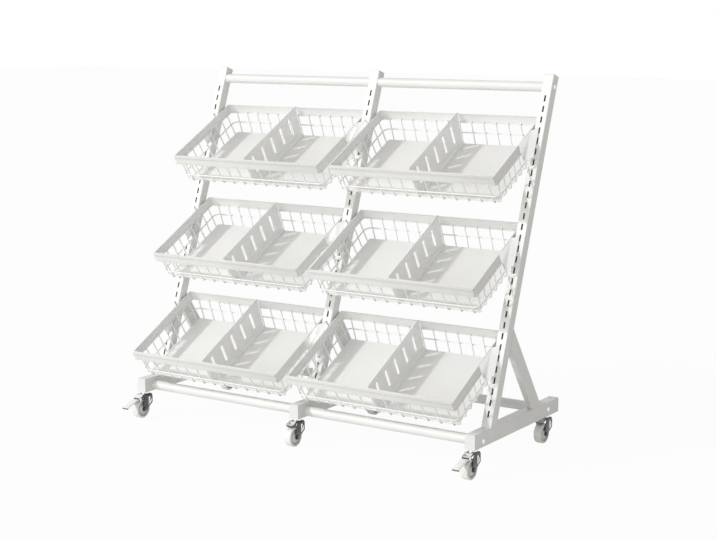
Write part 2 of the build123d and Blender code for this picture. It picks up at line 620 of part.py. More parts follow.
def hanger_arm(side, bay, tier):
    """Folded arm from the side of the rim to the slot row, with two hooks through the upright's face."""
    slot = slot_height(TIER_SLOTS[tier])
    along = slot + BASKET_ABOVE_SLOT
    rim_x = BASKET_WIDTH / 2 + ARM_SHEET / 2
    slot_x = BAY_PITCH / 2 - HOOK_OFFSET
    face = -ARM_FACE_GAP
    seam_top = rim_point(ARM_REACH, 0, along)
    seam_bottom = rim_point(ARM_REACH, RIM_HEIGHT, along)
    top_ahead = (BASKET_BEHIND_FACE - face) / cos(ARM_TURN)
    top = rim_point(top_ahead, 0, along)
    low_ahead = (BASKET_BEHIND_FACE - face + ARM_BOTTOM * sin(ARM_TURN)) / cos(ARM_TURN)
    low = rim_point(low_ahead, ARM_BOTTOM, along)
    heel = rim_point(ARM_REACH - ARM_HEEL, ARM_BOTTOM, along)
    view = Polygon(seam_top, seam_bottom, heel, low, top, align=None)
    fold = [
        (rim_x, seam_top[0] - ARM_SHEET),
        (rim_x, -ARM_FOLD_FRONT),
        (slot_x, -ARM_FOLD_REAR),
        (slot_x, face),
    ]
    folded = Pos(0, 0, heel[1]) * extrude(thick_line(fold, ARM_SHEET), top[1] - heel[1])
    arm = folded & extrude(Plane.YZ * view, BAY_PITCH / 2)
    for hook_slot in (slot, slot - SLOT_PITCH):
        arm += Pos(slot_x, 0, hook_slot) * hook()
    if side < 0:
        arm = mirror(arm, about=Plane.YZ)
    return upright_plane(BAY_X[bay]).location * arm


def hook():
    """Hook through a slot: a neck on the slot's lower edge and a lip down behind the wall."""
    neck_bottom = -SLOT_HEIGHT / 2 + HOOK_GAP
    neck_top = neck_bottom + HOOK_NECK
    lip_front = TUBE_WALL + HOOK_WALL_GAP
    lip_back = lip_front + HOOK_LIP
    outline = Polygon(
        (-ARM_FOLD_REAR / 2, neck_bottom),
        (lip_front, neck_bottom),
        (lip_front, -SLOT_HEIGHT / 2 - HOOK_DROP),
        (lip_back, -SLOT_HEIGHT / 2 - HOOK_DROP),
        (lip_back, neck_top),
        (-ARM_FOLD_REAR / 2, neck_top),
        align=None,
    )
    return extrude(Plane.YZ * outline, ARM_SHEET / 2, both=True)


def basket_nodes():
    """Every basket's rim with its arms, wires, floor sheet, price strip and divider."""
    nodes = {}
    shared = {"wires": wire_basket(), "floor_sheet": [floor_sheet()], "price_strip": [price_strip()]}
    shared["divider"] = [divider()]
    strips = rim()
    for bay in BAY_X:
        for tier in TIER_SLOTS:
            place = basket_plane(bay, tier).location
            name = f"{tier}_{bay}"
            arms = [hanger_arm(side, bay, tier) for side in (-1, 1)]
            nodes[f"basket_rim_{name}"] = [place * strip for strip in strips] + arms
            for kind, solids in shared.items():
                nodes[f"basket_{kind}_{name}"] = [place * solid for solid in solids]
    return nodes


def caster_nodes():
    """Each caster's fork and wheel, the stems in the legs, and the two brake pedals."""
    nodes = {"caster_stems": []}
    for name, (x, y) in CASTERS.items():
        place = Pos(x, y, 0)
        nodes["caster_stems"] += [place * solid for solid in caster_stem()]
        nodes[f"caster_fork_{name}"] = [place * solid for solid in fork(name in BRAKED)]
        nodes[f"caster_wheel_{name}"] = [place * wheel()]
        if name in BRAKED:
            nodes[f"brake_pedal_{name}"] = [place * brake_pedal()]
    return nodes


def frame_nodes():
    """Side frames, bars, caps and bolts."""
    nodes = {}
    for name, x in FRAME_X.items():
        nodes[f"leg_{name}"] = [leg(x)]
        nodes[f"upright_{name}"] = [upright(x)]
        nodes[f"brace_{name}"] = [brace(name)]
    for end, (y, z) in CROSSBARS.items():
        nodes[f"{end}_crossbars"] = bars(CROSSBAR_DIAMETER, Plane((0, y, z)), LEG_WIDTH)
    nodes["top_rails"] = bars(RAIL_DIAMETER, rail_frame(), UPRIGHT_SIZE)
    nodes["tube_caps"] = tube_caps()
    nodes["frame_bolts"] = bolts()
    return nodes


os.makedirs("parts", exist_ok=True)
for node, shapes in {**frame_nodes(), **caster_nodes(), **basket_nodes()}.items():
    solids = [solid for shape in shapes for solid in shape.solids()]
    export_step(solids[0] if len(solids) == 1 else Compound(children=solids), f"parts/{node}.step")
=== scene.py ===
"""Looks of the produce display stand: white tubes, wire baskets, slotted dividers and bright casters.

Metres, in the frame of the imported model. A basket's pieces are modelled once, in the basket's own frame, and
copied to the six places. A caster's pieces are modelled once, under a swivel axis on Z with the floor at
zero, and copied in the same way.
"""
import json
import math
from contextlib import contextmanager

import bmesh
import bpy
from mathutils import Matrix, Vector


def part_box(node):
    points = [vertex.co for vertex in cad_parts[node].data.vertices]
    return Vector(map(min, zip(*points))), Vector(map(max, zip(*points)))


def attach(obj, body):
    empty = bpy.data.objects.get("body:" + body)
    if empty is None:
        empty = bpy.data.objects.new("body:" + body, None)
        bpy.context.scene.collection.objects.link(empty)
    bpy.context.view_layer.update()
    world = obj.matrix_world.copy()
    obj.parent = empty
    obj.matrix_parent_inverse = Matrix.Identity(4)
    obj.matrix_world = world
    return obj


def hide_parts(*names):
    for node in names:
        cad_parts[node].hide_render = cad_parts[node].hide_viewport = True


# Camera of the photograph
EYE = Vector((2.7853, -4.0584, 1.3570))
AIM = Vector((0.0531, 0.0575, 0.5401))
LENS = 75.88
SENSOR = 36

# Studio: a key from the front left, a wide front light, the room's even light and a floor
KEY_FROM = Vector((-0.5645, -0.6408, 0.5203))
KEY_ENERGY = 1.15
KEY_ANGLE = math.radians(5)
FRONT_LIGHT = Vector((-1.5, -6.0, 1.6))
FRONT_LIGHT_AIM = Vector((0, 0, 0.6))
FRONT_LIGHT_SIZE = (6, 3)
FRONT_LIGHT_ENERGY = 135
ROOM_COLOUR = (1.0, 0.985, 0.94, 1)
ROOM_STRENGTH = 0.46
WHITE = (1, 1, 1, 1)
FLOOR_SIZE = 60
FLOOR_COLOURS = ((0.84, 0.84, 0.84), (0.86, 0.86, 0.86))
FLOOR_PATCH = 2
FLOOR_ROUGHNESS = 0.9
FLOOR_WHITE = 0.95  # share of plain white in what the camera sees of it

# Finishes: colours of light and dark patches, patch scale, range of roughness, grain scale and grain depth
LOOKS = {
    "powder_coat": ((0.86, 0.86, 0.85), (0.83, 0.83, 0.82), 9, (0.36, 0.46), 900, 0.00008),
    # whiter than the powder coat, as painted light on the arms' shaded sides, with a metal shine
    "arm_coat_painted_light": ((0.93, 0.93, 0.92), (0.90, 0.90, 0.89), 9, (0.30, 0.40), 900, 0.00008),
    # whiter than the powder coat, so that the wires' shade is partly painted out: painted light
    "wire_coat_painted_light": ((0.94, 0.94, 0.93), (0.91, 0.91, 0.90), 9, (0.36, 0.46), 900, 0.00008),
    # whiter than the powder coat, as painted bounce light on the divider's shaded face
    "divider_coat_painted_light": ((0.97, 0.97, 0.96), (0.95, 0.95, 0.94), 9, (0.28, 0.36), 700, 0.00006),
    "floor_sheet": ((0.96, 0.96, 0.95), (0.94, 0.94, 0.93), 6, (0.42, 0.55), 500, 0.00006),
    "zinc": ((0.92, 0.92, 0.91), (0.84, 0.84, 0.83), 60, (0.12, 0.24), 1500, 0.00002),
    # dark metal painted on the fork's edges, crown, tongue sides and axle heads: painted shade and painted
    # dark reflections
    "zinc_painted_shade": ((0.13, 0.13, 0.13), (0.08, 0.08, 0.08), 60, (0.22, 0.36), 1500, 0.00002),
    "nylon": ((0.90, 0.90, 0.88), (0.86, 0.86, 0.84), 30, (0.38, 0.52), 700, 0.00006),
    # darker nylon for the wheel's recess ring: painted shade
    "nylon_painted_recess_shade": ((0.60, 0.60, 0.58), (0.54, 0.54, 0.52), 30, (0.42, 0.56), 700, 0.00006),
    "cap_plastic": ((0.80, 0.80, 0.79), (0.75, 0.75, 0.74), 40, (0.40, 0.55), 1400, 0.00006),
    "pedal_plastic": ((0.96, 0.96, 0.95), (0.93, 0.93, 0.92), 40, (0.38, 0.52), 900, 0.00008),
    # dark grey on the pedal's turned-down lip: painted shade under the pedal's edge
    "pedal_lip_painted_shade": ((0.22, 0.22, 0.22), (0.16, 0.16, 0.16), 40, (0.42, 0.56), 900, 0.00008),
    "strip_plastic": ((0.80, 0.80, 0.78), (0.77, 0.77, 0.75), 8, (0.28, 0.38), 300, 0.00003),
}
SHINE = {
    "arm_coat_painted_light": {"Metallic": 0.8},
    "divider_coat_painted_light": {"Specular IOR Level": 1.0},
    "zinc": {"Metallic": 1.0},
    "zinc_painted_shade": {"Metallic": 1.0},
}
PATCH_RANGE = (0.3, 0.7)  # of the noise, from dark to light
PATCH_DETAIL = 3.0
GLOSS_SCALE = 3  # times the patches' scale
GRAIN_DETAIL = 1.0

# Modelling
NEAR = 1e-5  # closer than this is the same place
MERGED = 1e-6  # corners closer than this become one
SEED = 0.001  # size of the plane that a line is drawn from
FACING = 0.99  # share of a normal along an axis, on a face square to it
SHARP = math.radians(40)  # edges to round
SMOOTH_TURNED = math.radians(35)
SMOOTH_WIRE = math.radians(50)
TURNED_STEPS = 24
WHEEL_STEPS = 56

# Basket, in its own frame: Y runs back along the rim, Z up from it, zero at the rear rim's outer top edge
TILT = math.radians(28.0)
LEAN = math.radians(19.8)  # of the uprights
WIDTH = 0.605
DEPTH = 0.345
RIM_HEIGHT = 0.030
RIM_FLANGE = 0.003
RIM_HEM = 0.0016
RIM_SHEET = 0.0015
RIM_CORNER = 0.003
FOLD_ROUND = 0.0005
BAYS = ("left", "right")
TIERS = ("top", "middle", "bottom")

# Wires of the basket, as lines down their middles
WIRE = 0.0045
RING = 0.0045
WIRE_TOP = -0.026
CROSS_PITCH = 0.045
CROSS_COUNT = 13
LONG_PITCH = 0.037
LONG_COUNT = 9
LONG_FIRST = -0.3255
LONG_FLOOR = -0.10625
CROSS_FLOOR = LONG_FLOOR - WIRE
SIDE_TOP = 0.29855
SIDE_FLOOR = 0.29125
FRONT_TOP = -0.34105
FRONT_FLOOR = -0.33075
REAR_TOP = -0.00395
REAR_FLOOR = -0.01375
WIRE_BEND = 0.006
RING_BEND = 0.022
FRAME_RING_BEND = RING_BEND / 3
FRAME_RING = -0.033  # height of the ring under the rim
MID_RING = (-0.080, -0.069)  # heights at the front and rear

# Floor sheet and divider
SHEET = 0.0015
SHEET_TOP = -0.1025
SHEET_SIDE = 0.2865
SHEET_FRONT = -0.326
SHEET_REAR = -0.0185
SHEET_CORNER = 0.006
DIVIDER_LIFT = 0.0003  # over the sheet and the rim
DIVIDER_BOTTOM = SHEET_TOP + DIVIDER_LIFT + SHEET / 2
DIVIDER_FRONT = -0.3265
DIVIDER_REAR = -0.018
DIVIDER_EDGE = 0.0082  # upright ends, inside the rim
DIVIDER_SHOULDER = -0.020
DIVIDER_TAB = 0.0015  # tab's end, inside the rim's outer face
DIVIDER_RISE = 0.006
DIVIDER_FOOT = 0.010
DIVIDER_BEND = 0.0075
DIVIDER_ROUND = FOLD_ROUND / 2
TAB_ROUND = 0.003
SLOT_WIDTH = 0.012
SLOT_END = 0.48 * SLOT_WIDTH  # rounding of its ends
SLOT_LENGTH = 0.062
SLOT_TOP = -0.014
SLOT_FIRST = -0.062
SLOT_PITCH = 0.05875
SLOT_COUNT = 5

# Price strip
STRIP_HALF = 0.3005
STRIP_TOP = -0.0015
STRIP_BOTTOM = -0.0285
STRIP_FRONT = -0.3525
STRIP_BACK = -0.3498  # behind the label
STRIP_WALL = 0.0012
STRIP_ROUND = STRIP_WALL / 3
STRIP_LIP = 0.003

# Hanger arms, in the upright's directions: Y back from the rear rim, Z up along the upright
FACE = -0.0413  # upright's front face
ARM_TURN = TILT + LEAN  # between the basket's directions and the upright's
ARM_SHEET = 0.002
ARM_REACH = 0.172
ARM_BOTTOM = 0.064
ARM_HEEL = 0.008
ARM_GAP = 0.0003
ARM_FOLDS = (0.015, 0.005)  # ahead of the upright's face
ARM_STEP = 0.020  # sideways, from the rim to the slots
HOOKS = (-0.0555, -0.0900)  # slots' middles
HOOK_LOW = 0.0098  # neck's lower edge below the slot's middle
HOOK_NECK = 0.0096
HOOK_WALL = 0.0024  # through the upright's wall
HOOK_LIP = 0.003
HOOK_DROP = 0.0082

# Casters, under the swivel axis
CASTERS = [f"{end}_{side}" for end in ("front", "rear") for side in ("left", "centre", "right")]
BRAKED = ("front_left", "front_right")
CASTER_EDGE = 0.0004  # rounding of the fork's and pedal's edges
CROWN_TOP = 0.0825
FORK_SHEET = 0.0025
FORK_HALF = 0.018
FORK_BEND = 0.006
CROWN_FRONT = -0.022
CROWN_REAR = 0.017
CROWN_ROUND = 0.010
CHEEK_REAR_LOW = 0.0485
CHEEK_RADIUS = 0.009
# width of the raised edge round each dish, which keeps the painted shade
CHEEK_BAND = 0.004
CHEEK_DISH = 0.0008
# the plain cheek ahead of the split keeps the painted shade, and the dish behind it is bright zinc
CHEEK_SPLIT = -0.007  # dished behind it, plain ahead of it
AXLE = Vector((0, -0.024, 0.0325))
AXLE_DIAMETER = 0.008
AXLE_HEAD = 0.013
AXLE_HEAD_HEIGHT = 0.004
TONGUE_HALF = 0.013
TONGUE_END = (-0.044, 0.07225)
TONGUE_SIDE = 0.004
TONGUE_ROUND = 0.006
TONGUE_UP = 0.8  # upward share of a normal on its top
WHEEL_SIDE = [  # radius and distance from the wheel's middle, from the bore to the tread
    (0.00405, 0.0145),
    (0.0085, 0.0145),
    (0.0100, 0.0135),
    (0.0100, 0.0100),
    (0.0106, 0.0095),
    (0.0172, 0.0095),
    (0.0180, 0.0105),
    (0.0198, 0.0105),
    (0.0206, 0.0095),
    (0.0252, 0.0095),
    (0.0260, 0.0125),
    (0.0270, 0.0135),
    (0.0285, 0.0135),
    (0.0305, 0.01296),
    (0.03196, 0.0115),
    (0.0325, 0.0095),
]
PAINTED_RECESS_SHADE = (0.0200, 0.0262)  # ring of the side painted darker, as shade in the recess

# Brake pedal and the lugs that carry it, as reach and height in the side view
PIVOT = (-0.040, 0.0675)
PEDAL_KNEE = (-0.058, 0.066)
PEDAL_TIP = (-0.1025, 0.0492)
PEDAL_LIP = 0.004
PEDAL_HALF = 0.012
PEDAL_SHEET = 0.003
PEDAL_HUB = 0.0036
PEDAL_RIBS = 5
PEDAL_RIB = 0.0014
PEDAL_RIB_LENGTH = 1.8 * PEDAL_HALF
PEDAL_FIRST_RIB = 0.4  # of a rib's spacing, from the tip
PEDAL_PLAY = 0.00005  # round the pin
PIN = 0.002
LUG_RADIUS = 0.0042
LUG_SHEET = 0.002
LUG_GAP = 0.0005
LUG_TOP = 0.0742
SHOE_SIZE = (0.018, 0.010, 0.0095)
SHOE_MIDDLE = (0, -0.058, 0.05975)

# Bolt heads, standing on zero
BOLT_HEAD = [  # radius and height
    (0, 0.004),
    (0.003, 0.0038),
    (0.0052, 0.0030),
    (0.0065, 0.0016),
    (0.007, 0.0004),
    (0.007, 0),
    (0, 0),
]
BOLT_SOCKET = (0.005, 0.005, 0.005)
BOLT_SOCKET_MIDDLE = (0, 0, 0.004)
BOLT_ROWS = (("front_crossbars", "leg"), ("rear_crossbars", "leg"), ("top_rails", "upright"))


def turned(x=0, y=0, z=0):
    """Turn by degrees about X, then Y, then Z."""
    return (
        Matrix.Rotation(math.radians(z), 4, "Z")
        @ Matrix.Rotation(math.radians(y), 4, "Y")
        @ Matrix.Rotation(math.radians(x), 4, "X")
    )


def only(*pieces):
    """Selects these pieces alone, with the first one active."""
    bpy.ops.object.select_all(action="DESELECT")
    for piece in pieces:
        piece.select_set(True)
    bpy.context.view_layer.objects.active = pieces[0]


def put(piece, place):
    """Moves a piece and leaves the move in its mesh."""
    only(piece)
    piece.matrix_world = place
    bpy.ops.object.transform_apply(location=True, rotation=True, scale=True)


def start(name, kind, size, place=(0, 0, 0), turn=Matrix(), **options):
    """Adds a primitive of one unit, scaled to its size, turned and placed in its mesh."""
    bpy.ops.object.select_all(action="DESELECT")
    if kind == "cylinder":
        options.update(radius=0.5, depth=1)
    else:
        options["size"] = 1
    getattr(bpy.ops.mesh, f"primitive_{kind}_add")(**options)
    piece = bpy.context.object
    piece.name = name
    piece.data.name = name
    put(piece, Matrix.Translation(place) @ turn @ Matrix.Diagonal((*size, 1)))
    return piece


@contextmanager
def editing(piece):
    """Edit mode on one piece, with all of it selected."""
    only(piece)
    bpy.ops.object.mode_set(mode="EDIT")
    bpy.ops.mesh.select_mode(type="VERT")
    bpy.ops.mesh.select_all(action="SELECT")
    yield
    bpy.ops.object.mode_set(mode="OBJECT")


def middle(part):
    """Middle of an edge or a face."""
    return sum((vertex.co for vertex in part.verts), Vector()) / len(part.verts)


def pick(kind, test):
    """In edit mode, selects the vertices, edges or faces that pass a test, and nothing else."""
    bpy.ops.mesh.select_mode(type=kind)
    bpy.ops.mesh.select_all(action="DESELECT")
    mesh = bmesh.from_edit_mesh(bpy.context.edit_object.data)
    parts = {"VERT": mesh.verts, "EDGE": mesh.edges, "FACE": mesh.faces}[kind]
    for part in [part for part in parts if test(part)]:
        part.select_set(True)
    bmesh.update_edit_mesh(bpy.context.edit_object.data)


def extrude(move):
    """Extrudes what is selected and moves it."""
    bpy.ops.mesh.extrude_region_move(TRANSFORM_OT_translate={"value": move})


def modify(piece, kind, **settings):
    """Adds a modifier to a piece and applies it."""
    only(piece)
    modifier = piece.modifiers.new(kind, kind)
    for key, value in settings.items():
        setattr(modifier, key, value)
    bpy.ops.object.modifier_apply(modifier=modifier.name)


def repeat(piece, count, step):
    """Makes a row of a piece, in one mesh."""
    modify(
        piece,
        "ARRAY",
        count=count,
        use_relative_offset=False,
        use_constant_offset=True,
        constant_offset_displace=step,
    )


def thicken(piece, thickness, offset=0.0):
    """Gives a sheet its thickness, half to each side unless told otherwise."""
    with editing(piece):
        bpy.ops.mesh.normals_make_consistent(inside=False)
    modify(piece, "SOLIDIFY", thickness=thickness, offset=offset, use_even_offset=True)


def smooth(piece, angle):
    """Shades a piece smooth, except at edges sharper than an angle."""
    only(piece)
    bpy.ops.object.shade_smooth_by_angle(angle=angle)


def soften(piece, width):
    """Rounds the sharp edges and shades the rest smooth."""
    modify(piece, "BEVEL", width=width, segments=2, limit_method="ANGLE", angle_limit=SHARP)
    smooth(piece, SHARP)


def combine(piece, other, operation):
    """Cuts a piece by another one, which goes, or keeps what they share."""
    modify(piece, "BOOLEAN", object=other, operation=operation, solver="EXACT")
    bpy.data.objects.remove(other)


def join(name, *pieces):
    """Joins pieces into the first one, under a new name."""
    only(*pieces)
    bpy.ops.object.join()
    pieces[0].name = name
    pieces[0].data.name = name
    return pieces[0]


def copy(piece, name, place):
    """A copy with its own mesh, moved to its place."""
    only(piece)
    bpy.ops.object.duplicate(linked=False)
    made = bpy.context.object
    made.name = name
    made.data.name = name
    put(made, place)
    return made


def line(name, points):
    """Line of edges through points, drawn by extruding one vertex."""
    points = [Vector(point) for point in points]
    piece = start(name, "plane", (SEED, SEED, 1), points[0])
    with editing(piece):
        bpy.ops.mesh.merge(type="CENTER")
        for before, after in zip(points, points[1:]):
            extrude(after - before)
    return piece


def flat(name, points):
    """Flat sheet inside an outline."""
    piece = line(name, points)
    with editing(piece):
        bpy.ops.mesh.edge_face_add()
    return piece


def lathe(name, profile, steps):
    """Round piece about Z, spun from points of radius and height."""
    piece = line(name, [(radius, 0, height) for radius, height in profile])
    with editing(piece):
        bpy.ops.mesh.spin(steps=steps, angle=math.tau, center=(0, 0, 0), axis=(0, 0, 1))
        bpy.ops.mesh.select_all(action="SELECT")
        bpy.ops.mesh.remove_doubles(threshold=MERGED)
        bpy.ops.mesh.normals_make_consistent(inside=False)
    return piece


def wire(piece, diameter):
    """Turns a line into a round wire along it."""
    only(piece)
    bpy.ops.object.convert(target="CURVE")
    curve = bpy.context.object.data
    curve.bevel_depth = diameter / 2
    curve.bevel_resolution = 2
    curve.use_fill_caps = True
    bpy.ops.object.convert(target="MESH")
    made = bpy.context.object
    smooth(made, SMOOTH_WIRE)
    return made


def bent_wire(name, points, bend, diameter):
    """Wire through points, with its inner corners rounded."""
    piece = line(name, points)
    ends = (Vector(points[0]), Vector(points[-1]))
    with editing(piece):
        pick("VERT", lambda v: min((v.co - end).length for end in ends) > diameter)
        bpy.ops.mesh.bevel(offset=bend, segments=4, affect="VERTICES")
    return wire(piece, diameter)


def wall_at(height):
    """Half width, front and rear of the wires' walls at a height in the basket."""
    share = (height - WIRE_TOP) / (CROSS_FLOOR - WIRE_TOP)
    ends = ((SIDE_TOP, SIDE_FLOOR), (FRONT_TOP, FRONT_FLOOR), (REAR_TOP, REAR_FLOOR))
    return [top + share * (low - top) for top, low in ends]


def ring_wire(name, heights, bend, diameter):
    """Closed wire round the outside of the walls, from its heights at the front and rear."""
    out = (WIRE + diameter) / 2
    front_side, front, _ = wall_at(heights[0])
    rear_side, _, rear = wall_at(heights[1])
    corners = [(way * (front_side + out), front - out, heights[0]) for way in (-1, 1)]
    corners += [(way * (rear_side + out), rear + out, heights[1]) for way in (1, -1)]
    piece = flat(name, corners)
    with editing(piece):
        bpy.ops.mesh.delete(type="ONLY_FACE")
        bpy.ops.mesh.select_all(action="SELECT")
        bpy.ops.mesh.bevel(offset=bend, segments=5, affect="VERTICES")
    return wire(piece, diameter)


def basket_wires():
    """Wires across the floor and along it, bent up into the walls, and two rings round them."""
    cross = [
        (0, FRONT_TOP, WIRE_TOP),
        (0, FRONT_FLOOR, CROSS_FLOOR),
        (0, REAR_FLOOR, CROSS_FLOOR),
        (0, REAR_TOP, WIRE_TOP),
    ]
    long = [
        (-SIDE_TOP, 0, WIRE_TOP),
        (-SIDE_FLOOR, 0, LONG_FLOOR),
        (SIDE_FLOOR, 0, LONG_FLOOR),
        (SIDE_TOP, 0, WIRE_TOP),
    ]
    cross_first = -(CROSS_COUNT - 1) / 2 * CROSS_PITCH
    rows = []
    for name, points, first, count, step in (
        ("cross_wires", cross, (cross_first, 0, 0), CROSS_COUNT, (CROSS_PITCH, 0, 0)),
        ("long_wires", long, (0, LONG_FIRST, 0), LONG_COUNT, (0, LONG_PITCH, 0)),
    ):
        row = bent_wire(name, points, WIRE_BEND, WIRE)
        put(row, Matrix.Translation(first))
        repeat(row, count, step)
        rows.append(row)
    rows.append(ring_wire("frame_ring", (FRAME_RING, FRAME_RING), FRAME_RING_BEND, WIRE))
    rows.append(ring_wire("mid_ring", MID_RING, RING_BEND, RING))
    return join("wires", *rows)


def extrude_in(width):
    """Extrudes what is selected of the rim's outline, and draws it in by a width all round."""
    extrude((0, 0, 0))
    share = (1 - 2 * width / WIDTH, 1 - 2 * width / DEPTH, 1)
    bpy.ops.transform.resize(value=share, center_override=(0, -DEPTH / 2, 0))


def basket_rim():
    """Folded strip round the basket with a flange on top and a hem below."""
    rim = start("rim", "plane", (WIDTH, DEPTH, 1), (0, -DEPTH / 2, 0))
    with editing(rim):
        bpy.ops.mesh.bevel(offset=RIM_CORNER, segments=3, affect="VERTICES")
        pick("EDGE", lambda e: e.is_boundary)
        extrude((0, 0, -RIM_HEIGHT))
        extrude_in(RIM_HEM)
        pick("FACE", lambda f: len(f.verts) > 4)
        extrude_in(RIM_FLANGE)
        bpy.ops.mesh.delete(type="FACE")
    thicken(rim, RIM_SHEET, -1.0)
    soften(rim, FOLD_ROUND)
    return rim


def arm_point(ahead, below):
    """Point of the rim's side view, in the upright's directions."""
    back = below * math.sin(ARM_TURN) - ahead * math.cos(ARM_TURN)
    up = -ahead * math.sin(ARM_TURN) - below * math.cos(ARM_TURN)
    return Vector((WIDTH / 2 + ARM_SHEET / 2, back, up))


def arm_end(below):
    """Point of the arm's rear edge, at a depth below the rim."""
    ahead = (below * math.sin(ARM_TURN) - FACE + ARM_GAP) / math.cos(ARM_TURN)
    return arm_point(ahead, below)


def hanger_arms():
    """Two folded arms, with hooks through the slots of the uprights."""
    outline = [
        arm_point(ARM_REACH, 0),
        arm_point(ARM_REACH, RIM_HEIGHT),
        arm_point(ARM_REACH - ARM_HEEL, ARM_BOTTOM),
        arm_end(ARM_BOTTOM),
        arm_end(0),
    ]
    arms = flat("arms", outline)
    edge = FACE - ARM_GAP - NEAR
    with editing(arms):
        for fold in ARM_FOLDS:
            bpy.ops.mesh.select_all(action="SELECT")
            bpy.ops.mesh.bisect(plane_co=(0, FACE - fold, 0), plane_no=(0, 1, 0))
        for hook in HOOKS:
            for height in (hook - HOOK_LOW, hook - HOOK_LOW + HOOK_NECK):
                pick("FACE", lambda f: middle(f).y > FACE - ARM_FOLDS[1])
                bpy.ops.mesh.bisect(plane_co=(0, 0, height), plane_no=(0, 0, 1))
        pick("VERT", lambda v: v.co.y > FACE - ARM_FOLDS[1] - NEAR)
        bpy.ops.transform.translate(value=(ARM_STEP, 0, 0))
        for hook in HOOKS:
            low = hook - HOOK_LOW
            high = low + HOOK_NECK
            pick("EDGE", lambda e: e.is_boundary and middle(e).y > edge and low < middle(e).z < high)
            extrude((0, ARM_GAP + HOOK_WALL, 0))
            extrude((0, HOOK_LIP, 0))
            pick("EDGE", lambda e: middle(e).y > FACE + HOOK_WALL + NEAR and abs(middle(e).z - low) < NEAR)
            extrude((0, 0, -HOOK_DROP))
    modify(arms, "MIRROR", use_axis=(True, False, False))
    thicken(arms, ARM_SHEET)
    soften(arms, FOLD_ROUND)
    put(arms, Matrix.Rotation(-ARM_TURN, 4, "X"))
    return arms


def floor_sheet():
    """Loose sheet with rounded corners."""
    size = (2 * SHEET_SIDE, SHEET_REAR - SHEET_FRONT, SHEET)
    sheet = start("sheet", "cube", size, (0, (SHEET_REAR + SHEET_FRONT) / 2, SHEET_TOP - SHEET / 2))
    with editing(sheet):
        pick("EDGE", lambda e: abs((e.verts[0].co - e.verts[1].co).z) > SHEET / 2)
        bpy.ops.mesh.bevel(offset=SHEET_CORNER, segments=5, affect="EDGES")
    soften(sheet, FOLD_ROUND)
    return sheet


def slot_cutter():
    """Row of round-ended slots through the divider."""
    place = (0, SLOT_FIRST, SLOT_TOP - SLOT_LENGTH / 2)
    cutter = start("slots", "cube", (4 * SHEET, SLOT_WIDTH, SLOT_LENGTH), place)
    with editing(cutter):
        pick("EDGE", lambda e: abs((e.verts[0].co - e.verts[1].co).x) > SHEET)
        bpy.ops.mesh.bevel(offset=SLOT_END, segments=4, affect="EDGES")
    repeat(cutter, SLOT_COUNT, (0, -SLOT_PITCH, 0))
    return cutter


def divider():
    """Slotted plate with a folded foot, and tabs over the front and rear rims."""
    outline = [
        (DIVIDER_FRONT, DIVIDER_BOTTOM),
        (DIVIDER_REAR, DIVIDER_BOTTOM),
        (-DIVIDER_EDGE, DIVIDER_SHOULDER),
        (-DIVIDER_EDGE, DIVIDER_LIFT),
        (-DIVIDER_TAB, DIVIDER_LIFT),
        (-DIVIDER_TAB, DIVIDER_RISE),
        (-DEPTH + DIVIDER_TAB, DIVIDER_RISE),
        (-DEPTH + DIVIDER_TAB, DIVIDER_LIFT),
        (-DEPTH + DIVIDER_EDGE, DIVIDER_LIFT),
        (-DEPTH + DIVIDER_EDGE, DIVIDER_SHOULDER),
    ]
    plate = flat("divider", [(0, y, z) for y, z in outline])
    with editing(plate):
        pick("VERT", lambda v: v.co.z > DIVIDER_RISE - NEAR)
        bpy.ops.mesh.bevel(offset=TAB_ROUND, segments=4, affect="VERTICES")
        pick("EDGE", lambda e: middle(e).z < DIVIDER_BOTTOM + NEAR)
        extrude((DIVIDER_FOOT, 0, 0))
        pick("EDGE", lambda e: middle(e).z < DIVIDER_BOTTOM + NEAR and abs(middle(e).x) < NEAR)
        bpy.ops.mesh.bevel(offset=DIVIDER_BEND, segments=4, affect="EDGES")
    thicken(plate, SHEET)
    combine(plate, slot_cutter(), "DIFFERENCE")
    soften(plate, DIVIDER_ROUND)
    return plate


def price_strip():
    """Shallow label channel on the front rim."""
    top, bottom, lip = STRIP_TOP, STRIP_BOTTOM, STRIP_FRONT + STRIP_WALL
    profile = [
        (-DEPTH, bottom),
        (-DEPTH, top),
        (STRIP_FRONT, top),
        (STRIP_FRONT, top - STRIP_LIP),
        (lip, top - STRIP_LIP),
        (lip, top - STRIP_WALL),
        (STRIP_BACK, top - STRIP_WALL),
        (STRIP_BACK, bottom + STRIP_WALL),
        (lip, bottom + STRIP_WALL),
        (lip, bottom + STRIP_LIP),
        (STRIP_FRONT, bottom + STRIP_LIP),
        (STRIP_FRONT, bottom),
    ]
    strip = flat("strip", [(-STRIP_HALF, y, z) for y, z in profile])
    with editing(strip):
        extrude((2 * STRIP_HALF, 0, 0))
        bpy.ops.mesh.select_all(action="SELECT")
        bpy.ops.mesh.normals_make_consistent(inside=False)
    soften(strip, STRIP_ROUND)
    return strip


def arc(centre, radius, first, last, steps):
    """Points of an arc, between angles in degrees."""
    angles = [math.radians(first + (last - first) * i / steps) for i in range(steps + 1)]
    return [(centre[0] + radius * math.cos(a), centre[1] + radius * math.sin(a)) for a in angles]


def dress(piece, finish):
    """Gives a piece one finish in place of any other."""
    piece.data.materials.clear()
    piece.data.materials.append(FINISHES[finish])
    return piece


def paint(finish):
    """In edit mode, gives the selected faces a finish of their own."""
    piece = bpy.context.edit_object
    piece.data.materials.append(FINISHES[finish])
    piece.active_material_index = len(piece.data.materials) - 1
    bpy.ops.object.material_slot_assign()


def rod(name, diameter, length, place, vertices=20):
    """Bar along X, about its middle."""
    return start(name, "cylinder", (diameter, diameter, length), place, turned(y=90), vertices=vertices)


